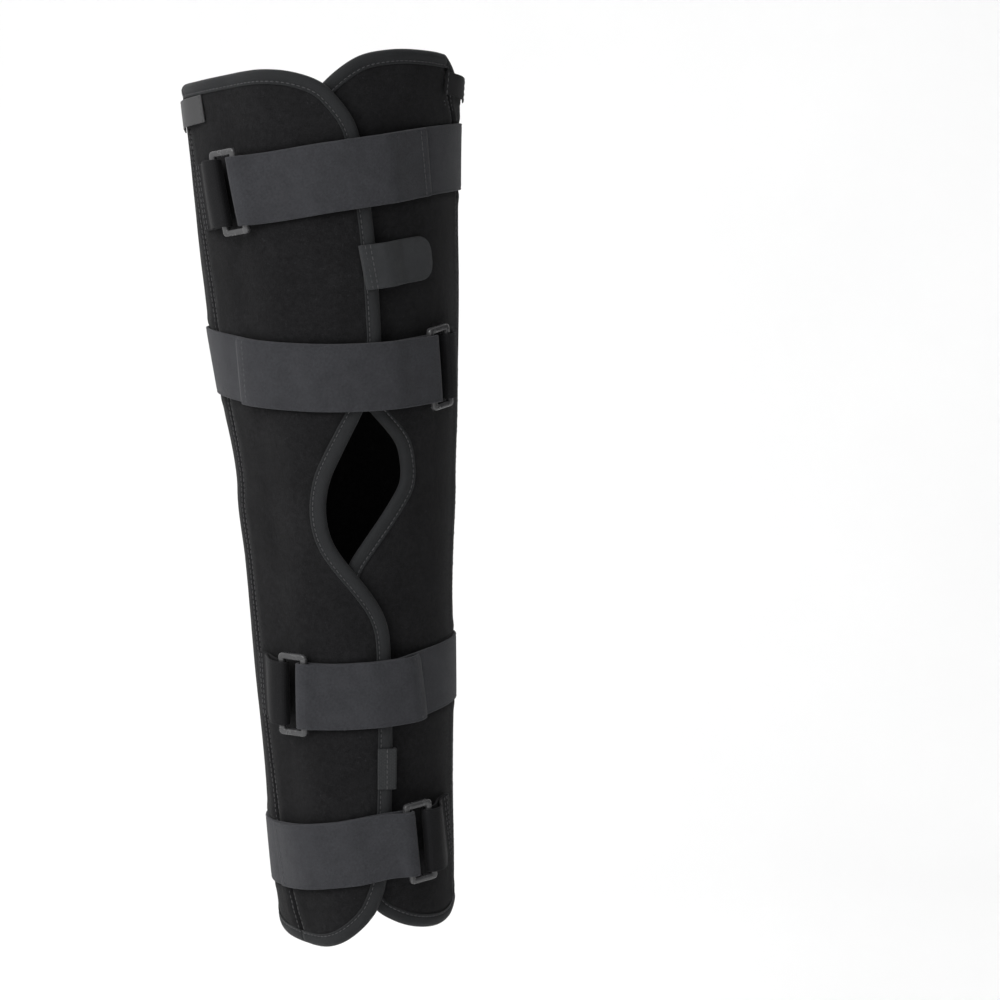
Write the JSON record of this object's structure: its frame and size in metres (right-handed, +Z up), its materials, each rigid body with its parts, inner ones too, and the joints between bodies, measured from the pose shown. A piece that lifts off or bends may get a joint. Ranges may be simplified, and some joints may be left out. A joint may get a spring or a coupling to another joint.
{
  "type": "knee immobilizer",
  "caption": "Padded wrap that holds a knee straight: lapped front flaps with a kneecap opening, closed by wide straps through rectangular loops.",
  "frame": {"origin": "middle of the hollow at the height of the kneecap opening, where the knee sits", "axes": "+Z up toward the thigh end, -Y out of the front, +X toward the side that the free edge of the over flap faces"},
  "size_m": [0.178, 0.1853, 0.5663],
  "materials": {
    "foam_laminate": "black foam laminate with a short napped face",
    "edge_tape": "black stretch binding tape",
    "strap_fabric": "charcoal brushed loop fabric",
    "webbing": "black coarse woven webbing",
    "loop_plastic": "dark grey moulded plastic",
    "tab_fabric": "charcoal hook-backed fabric",
    "satin_tape": "plain grey satin tape"
  },
  "bodies": {
    "root": {"back_panel": "foam_laminate", "over_flap": "foam_laminate", "under_flap": "foam_laminate", "over_flap_binding": "edge_tape", "under_flap_binding": "edge_tape", "back_top_binding": "edge_tape", "back_bottom_binding": "edge_tape", "strap_1": "strap_fabric", "strap_2": "strap_fabric", "strap_3": "strap_fabric", "strap_4": "strap_fabric", "buckle_1": "loop_plastic", "buckle_2": "loop_plastic", "buckle_3": "loop_plastic", "buckle_4": "loop_plastic", "keeper_1": "webbing", "keeper_2": "webbing", "keeper_3": "webbing", "keeper_4": "webbing", "flap_tab_upper": "tab_fabric", "flap_tab_lower": "webbing", "side_tab_left": "satin_tape", "side_tab_right": "webbing"}
  },
  "joints": []
}
